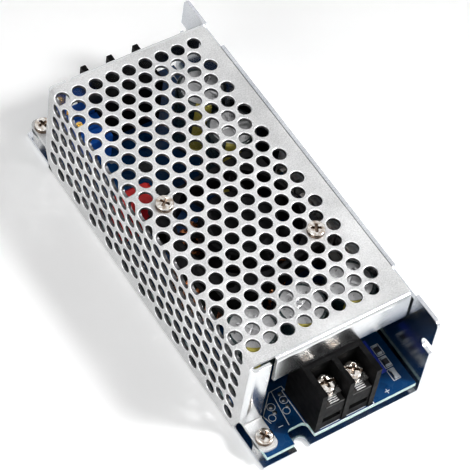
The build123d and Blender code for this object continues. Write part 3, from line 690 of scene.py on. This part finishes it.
pole_x = 4.75
terminal_screw_y, clamp_top = 63.3, 18.8
for terminal, side in (("output", -1), ("input", 1)):
    for number, x in ((1, -pole_x), (2, pole_x)):
        node = f"{terminal}_screw_{number}"
        turn = 24 + 31 * number * side
        terminal_screw = Form()
        add_screw(terminal_screw, x, side * terminal_screw_y, clamp_top, 3.1, 2.7, turn, 1.72, 8.3,
                  arm=0.66, slot=0.42)
        piece(f"{node}_turned", terminal_screw, [nickel, recess],
              f"{terminal}_clamp_{number}", (node,), smooth=40)
        dress(f"{terminal}_clamp_plate_{number}", tin, 0.12)
    dress(f"{terminal}_terminal_body", terminal_black, 0.16)
    # the contacts take the painted shade
    dress(f"{terminal}_contacts", contact_painted_shade, 0.08)


# ---- Carried-over nodes ----

dress("chassis", polished, 0.1)
dress("circuit_board", board_blue)
dress("standoffs", tin)
dress("wall_screws", nickel, 0.15)
dress("fan_frame", fan_black, 0.2)
dress("insulator_strip", insulator)
dress("film_capacitor", film_red, 0.3)
dress("fan_socket", socket_white, 0.15)
dress("chip_resistors", chip_body, 0.05)
for number in (1, 2):
    dress(f"controller_chip_{number}", chip)
for number in (1, 2, 3):
    dress(f"trimmer_body_{number}", trimmer_blue, 0.18)
    dress(f"trimmer_screw_{number}", turned_brass, 0.06)
for number in (1, 2, 3, 4):
    dress(f"transistor_{number}", transistor, 0.12)


# ---- Fan rotor: moulded hub with a stepped top, and curved blades ----

blade_count = 7
blade_root, blade_length = 11.6, 6.2
blade_low, blade_height = 28.5, 6.2
blade_lean, blade_bow, blade_curl, blade_thick = 5.8, 0.9, 0.35, 1.1
rows_up, rows_out = 9, 6

rotor = Form()
rotor.turned([
    (0.0, 34.5), (8.6, 34.5), (8.9, 34.6), (9.3, 35.05), (9.7, 35.15), (10.9, 35.15), (11.6, 34.95),
    (11.95, 34.5), (12.0, 34.0), (12.0, 28.3), (11.9, 28.0), (11.5, 27.9), (0.0, 27.9),
], 72)
rotor.turned([(1.0, 27.9), (1.0, 25.9), (0.0, 25.9)], 20)


def blade_point(base, side, t, out):
    """A point of one blade: t goes up and out goes outward, from 0 to 1, and side is -0.5 or 0.5."""
    lean = -blade_lean / 2 + blade_lean * t + blade_bow * math.sin(math.pi * t)
    thick = blade_thick * (0.35 + 0.65 * math.sin(math.pi * (0.12 + 0.8 * t))) * side
    offset = lean + thick + blade_curl * math.sin(math.pi * out)
    return (*turn_plan(blade_root + blade_length * out, offset, base), blade_low + blade_height * t)


for blade in range(blade_count):
    base = 2 * math.pi * blade / blade_count
    around_edge = [(-0.5, i / (rows_up - 1)) for i in range(rows_up)]
    around_edge += [(0.5, t) for _, t in reversed(around_edge)]
    loops = []
    for k in range(rows_out):
        loops.append([blade_point(base, side, t, k / (rows_out - 1)) for side, t in around_edge])
    rotor.layers(loops)
    for loop in (loops[0], loops[-1]):
        rotor.add(loop, [(i, i + 1, 2 * rows_up - 2 - i, 2 * rows_up - 1 - i) for i in range(rows_up - 1)])
rotor.points = [(*turn_plan(x, y, fan_turn), z) for x, y, z in rotor.points]
piece("rotor_moulding", rotor, [rotor_black], "fan_rotor_body", ("fan_rotor",),
      at=(fan_x, fan_y, 0))


# ---- Inductor: ring core with rounded edges, and round wire ----

core_x, core_y, core_low, core_high = -5.0, -12.0, 7.2, 19.8
core_inner, core_outer, core_round = 10.2, 16.4, 0.8


def rounded_section(inner, outer, low, high, radius, steps):
    """A rectangle with rounded corners, as (r, z) points."""
    left, right, bottom, top = inner + radius, outer - radius, low + radius, high - radius
    points = arc(right, bottom, radius, -90, 0, steps) + arc(right, top, radius, 0, 90, steps)
    return points + arc(left, top, radius, 90, 180, steps) + arc(left, bottom, radius, 180, 270, steps)


core = Form()
section = rounded_section(core_inner, core_outer, core_low, core_high, core_round, 5)
core.layers([ring_points(r, z, 96) for r, z in section + section[:1]])
piece("core_ring", core, [ferrite], stands_for=("inductor_core",), at=(core_x, core_y, 0))

turn_count = 26
wire, wire_bend, wire_points = 0.68, 1.3, 9
beside, above = wire + 0.05, wire + 0.02
path = rounded_section(core_inner - beside, core_outer + beside, core_low - above, core_high + above,
                       wire_bend, 4)
winding = Form()
for number in range(turn_count):
    a = 2 * math.pi * (number + 0.5) / turn_count
    loops = []
    for i in range(len(path) + 1):
        r, z = path[i % len(path)]
        before, after = path[(i - 1) % len(path)], path[(i + 1) % len(path)]
        along = Vector((after[0] - before[0], after[1] - before[1])).normalized()
        across = Vector((along.y, -along.x))
        loop = []
        for out, side, _ in ring_points(wire, 0, wire_points):
            loop.append((*turn_plan(r + across.x * out, side, a), z + across.y * out))
        loops.append(loop)
    winding.layers(loops)
piece("copper_turns", winding, [enamel], stands_for=("inductor_winding",), smooth=60,
      at=(core_x, core_y, 0))


# ---- Electrolytic capacitors: crimped sleeve, bare top with a cross vent ----

can_points, top_steps = 72, 25
top_radius, top_z = 6.75, 30.75
vent_arm, vent_half, vent_depth = 5.4, 0.42, 0.3
can_profile = [
    (0.0, 5.8), (7.5, 5.8), (7.85, 6.1), (7.95, 6.6), (7.95, 7.9), (7.6, 8.3), (7.35, 8.8), (7.6, 9.3),
    (7.95, 9.7), (7.97, 29.6), (7.9, 30.3), (7.6, 30.8), (7.2, 30.98), (6.9, 30.95), (top_radius, 30.8),
]


def vent_at(x, y):
    """Depth of the cross vent at x, y of the can's top."""
    vent = 0.0
    for a, b in ((x, y), (y, x)):
        if abs(a) < vent_arm and abs(b) < vent_half:
            vent = max(vent, vent_depth * (1 - abs(b) / vent_half))
    return vent


for name, x, y, turn in (
    ("front_capacitor_1", -18.0, -42.0, 40), ("front_capacitor_2", -0.8, -42.0, 200),
    ("front_capacitor_3", 16.4, -42.0, 310), ("rear_capacitor_1", 16.5, 41.0, 120),
    ("rear_capacitor_2", 16.5, 23.5, 260),
):
    can = Form()
    can.turned(can_profile, can_points)
    rings = []
    for i in range(top_steps + 1):
        ring = ring_points(top_radius * (1 - i / top_steps), top_z, can_points)
        rings.append([(px, py, z - vent_at(px, py)) for px, py, z in ring])
    can.layers(rings, 1)
    made = piece(f"{name}_can", can, [sleeve, can_top], stands_for=(name,), smooth=50,
                 at=(x, y, 0))
    made.data.transform(Matrix.Rotation(math.radians(turn), 4, "Z"))


# ---- Fan leads: two short wires from the frame down to the socket ----

# the middle line of part.py's two leads, and the way across from one lead to the other
route = ((14.1, 1.2, 25.8), (14.1, 1.2, 20.2), (17.0, 8.0, 17.4), (17.0, 8.0, 11.8))
apart = Vector((8.0 - 1.2, 14.1 - 17.0, 0)).normalized() * 1.3
lead_radius = 0.6
for colour, side, paint in (("red", -0.5, lead_red), ("black", 0.5, lead_black)):
    line = bpy.data.curves.new(f"fan_wire_{colour}", "CURVE")
    line.dimensions = "3D"
    line.bevel_depth = lead_radius * MM
    line.bevel_resolution = 4
    line.resolution_u = 12
    strand = line.splines.new("NURBS")
    strand.points.add(len(route) - 1)
    for point, place in zip(strand.points, route):
        point.co = ((Vector(place) + apart * side) * MM).to_4d()
    strand.order_u = 3
    strand.use_endpoint_u = True
    line.materials.append(paint.material)
    wire_piece = bpy.data.objects.new(f"fan_wire_{colour}", line)
    bpy.context.scene.collection.objects.link(wire_piece)
    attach(wire_piece, "case")
    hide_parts(f"fan_lead_{colour}")


# ---- Board print, pads and solder, a hair above the mask ----

ink_top = board_z + 0.03
thin, medium, bold = 0.16, 0.22, 0.24
terminal_width, terminal_depth, terminal_y = 21.9, 17.2, 61.0

# Row of three chip resistors beside the output terminal
chip_row_x, chip_row_y, chip_pitch, chip_end = 22.3, 59.1, 4.65, 1.35
chip_end_places = [-chip_row_y + chip_pitch * k + step for k in (-1, 0, 1) for step in (-chip_end, chip_end)]


def stripe(form, start, end, width, low=board_z, high=ink_top):
    """A straight line of that width with square ends, from low to high."""
    a, b = Vector(start), Vector(end)
    along = (b - a).normalized() * width / 2
    across = Vector((-along.y, along.x))
    corners = [a - along - across, b + along - across, b + along + across, a - along + across]
    form.prism([tuple(c) for c in corners], low, high)


def block(form, x, y, half_x, half_y, low, high):
    """An upright block about x, y."""
    a, b, c, d = x - half_x, x + half_x, y - half_y, y + half_y
    form.prism([(a, c), (b, c), (b, d), (a, d)], low, high)


def frame_lines(form, x, y, width, depth, line):
    """The printed outline of a rectangle about x, y."""
    a, b = x - width / 2, x + width / 2
    c, d = y - depth / 2, y + depth / 2
    corners = ((a, c), (b, c), (b, d), (a, d))
    for start, end in zip(corners, corners[1:] + corners[:1]):
        stripe(form, start, end, line)


ink = Form()
for start, end in (
    ((-14.65, -51.2), (-20.65, -57.3)), ((-20.65, -57.3), (-19.85, -60.3)), ((-14.65, -51.2), (-10.2, -51.0)),
    ((-10.2, -51.0), (-9.45, -68.6)), ((-13.95, -51.3), (-15.45, -63.3)),
):
    stripe(ink, start, end, bold)
for x, y, radius in (
    (-13.45, -58.9, 1.1), (-18.55, -59.0, 1.1), (-12.15, -55.4, 1.25), (-16.85, -55.7, 1.25),
):
    hoop = ((radius + 0.1, board_z), (radius + 0.1, ink_top), (radius - 0.1, ink_top))
    ink.layers([ring_points(r, z, 28, x, y) for r, z in hoop])
for k in (-1, 0, 1):
    for side in (-1, 1):
        frame_lines(ink, chip_row_x + 0.25 * k, side * chip_row_y + chip_pitch * k, 2.5, 4.0, medium)
frame_lines(ink, 0.0, -terminal_y, terminal_width, terminal_depth, bold)
for side in (-1, 1):
    for x in (-pole_x, pole_x):
        stripe(ink, (x - 3.4, side * 68.95), (x + 3.4, side * 68.95), thin)
    # plain polarity signs
    plus_x, plus_y, minus_x, minus_y, arm = 16.9, side * 67.8, -17.9, side * 62.6, 0.7
    stripe(ink, (plus_x - arm, plus_y), (plus_x + arm, plus_y), medium)
    stripe(ink, (plus_x, plus_y - arm), (plus_x, plus_y + arm), medium)
    stripe(ink, (minus_x - arm, minus_y), (minus_x + arm, minus_y), medium)
piece("board_print", ink, [print_white], smooth=30)

solder_drop = ((0.75, 0.0), (0.7, 0.05), (0.42, 0.16), (0.22, 0.3), (0.01, 0.34))
screw_land = ((3.5, 0.0), (3.5, 0.04), (1.7, 0.05), (1.6, 0.0))
solder = Form()
for x, y in (
    (-12.05, -53.1), (-12.15, -55.4), (-12.25, -57.7), (-16.85, -55.7), (-16.85, -57.8),
    (-12.05, 53.1), (-12.15, 44.6),
):
    solder.layers([ring_points(r, board_z + h, 24, x, y) for r, h in solder_drop])
for x, y, _, _ in board_screw_places:
    solder.layers([ring_points(r, board_z + h, 40, x, y) for r, h in screw_land])
for y in chip_end_places:
    stripe(solder, (chip_row_x - 0.35, y), (chip_row_x + 0.35, y), 1.1, board_z, board_z + 0.06)
piece("solder_pads", solder, [pad_metal], smooth=35, bevel=0.05)

chip_ends = Form()
for y in chip_end_places:
    block(chip_ends, chip_row_x, y, 0.82, 0.34, board_z + 0.02, board_z + 0.64)
piece("chip_end_caps", chip_ends, [component_pale], bevel=0.05)

# Short bright ridges across each contact, in front of its clamp plate
ridge_y, ridge_step, ridge_half, ridge_low, ridge_high = 67.1, 0.7, 1.4, 17.9, 18.1
ridges = Form()
for side in (-1, 1):
    for x in (-pole_x, pole_x):
        for number in range(3):
            y = side * (ridge_y + ridge_step * number)
            stripe(ridges, (x - ridge_half, y), (x + ridge_half, y), 0.3, ridge_low, ridge_high)
piece("contact_ridges", ridges, [satin], bevel=0.04)

track = Form()
stripe(track, (20.15, -50.6), (19.95, -61.1), 1.9, board_z, board_z + 0.04)
piece("board_track", track, [track_blue])

pale = Form()
block(pale, chip_row_x, -63.75, 0.7, 1.1, board_z + 0.55, board_z + 0.66)
piece("pale_chip_top", pale, [component_pale], bevel=0.04)


# ---- Floor and light ----

floor_half, floor_drop = 3, 0.2 * MM
floor_corners = [(-floor_half, -floor_half, 0), (floor_half, -floor_half, 0)]
floor_corners += [(floor_half, floor_half, 0), (-floor_half, floor_half, 0)]
floor_mesh = bpy.data.meshes.new("floor")
floor_mesh.from_pydata(floor_corners, [], [(0, 1, 2, 3)])
floor = bpy.data.objects.new("floor", floor_mesh)
floor.location.z = -floor_drop
bpy.context.scene.collection.objects.link(floor)
ground = Paint("floor_paper", (0.93, 0.93, 0.93), 0.9)
ground.tint(ground.noise(12, 3), (0.925, 0.925, 0.925), (0.94, 0.94, 0.94))
floor_mesh.materials.append(ground.material)


def seen_rays(tree):
    """1 for camera, mirrored and transmitted rays, which see the pale studio; 0 for the rest."""
    rays = tree.nodes.new("ShaderNodeLightPath")
    total = rays.outputs["Is Camera Ray"]
    for kind in ("Is Glossy Ray", "Is Transmission Ray"):
        either = tree.nodes.new("ShaderNodeMath")
        either.operation = "MAXIMUM"
        tree.links.new(total, either.inputs[0])
        tree.links.new(rays.outputs[kind], either.inputs[1])
        total = either.outputs[0]
    return total


# the paper glows faintly to the camera and in mirrors, which keeps its shadow soft and the rest white
paper_glow = 0.22
ground.shader.inputs["Emission Color"].default_value = (1, 1, 1, 1)
ground.set("Emission Strength", ground.spread(seen_rays(ground.tree), 0.0, 1.0, 0.0, paper_glow))

# the studio is white where it is seen, and lights the object at a lower level
sky_light, sky_seen = 0.24, 1.0
world = bpy.data.worlds.new("studio")
bpy.context.scene.world = world
world.use_nodes = True
sky = world.node_tree
back = sky.nodes["Background"]
back.inputs["Color"].default_value = (1, 1, 1, 1)
level = sky.nodes.new("ShaderNodeMapRange")
level.inputs["To Min"].default_value = sky_light
level.inputs["To Max"].default_value = sky_seen
sky.links.new(seen_rays(sky), level.inputs["Value"])
sky.links.new(level.outputs["Result"], back.inputs["Strength"])


def lamp(name, place, aim, size, watts, cone=180):
    """A round area lamp; places and size are in metres, and cone is its spread in degrees."""
    data = bpy.data.lights.new(name, "AREA")
    data.shape = "DISK"
    data.size = size
    data.energy = watts
    data.spread = math.radians(cone)
    thing = bpy.data.objects.new(name, data)
    thing.location = place
    thing.rotation_euler = (Vector(aim) - Vector(place)).to_track_quat("-Z", "Y").to_euler()
    bpy.context.scene.collection.objects.link(thing)


lamp("key", (0.62, -0.55, 0.78), (0.05, -0.14, 0.02), 0.35, 0.56, 30)
lamp("broad", (0.75, -0.25, 0.75), (0, 0, 0.02), 0.45, 0.95)
lamp("side", (-0.85, -0.30, 0.50), (0, 0, 0.02), 0.6, 5.0)
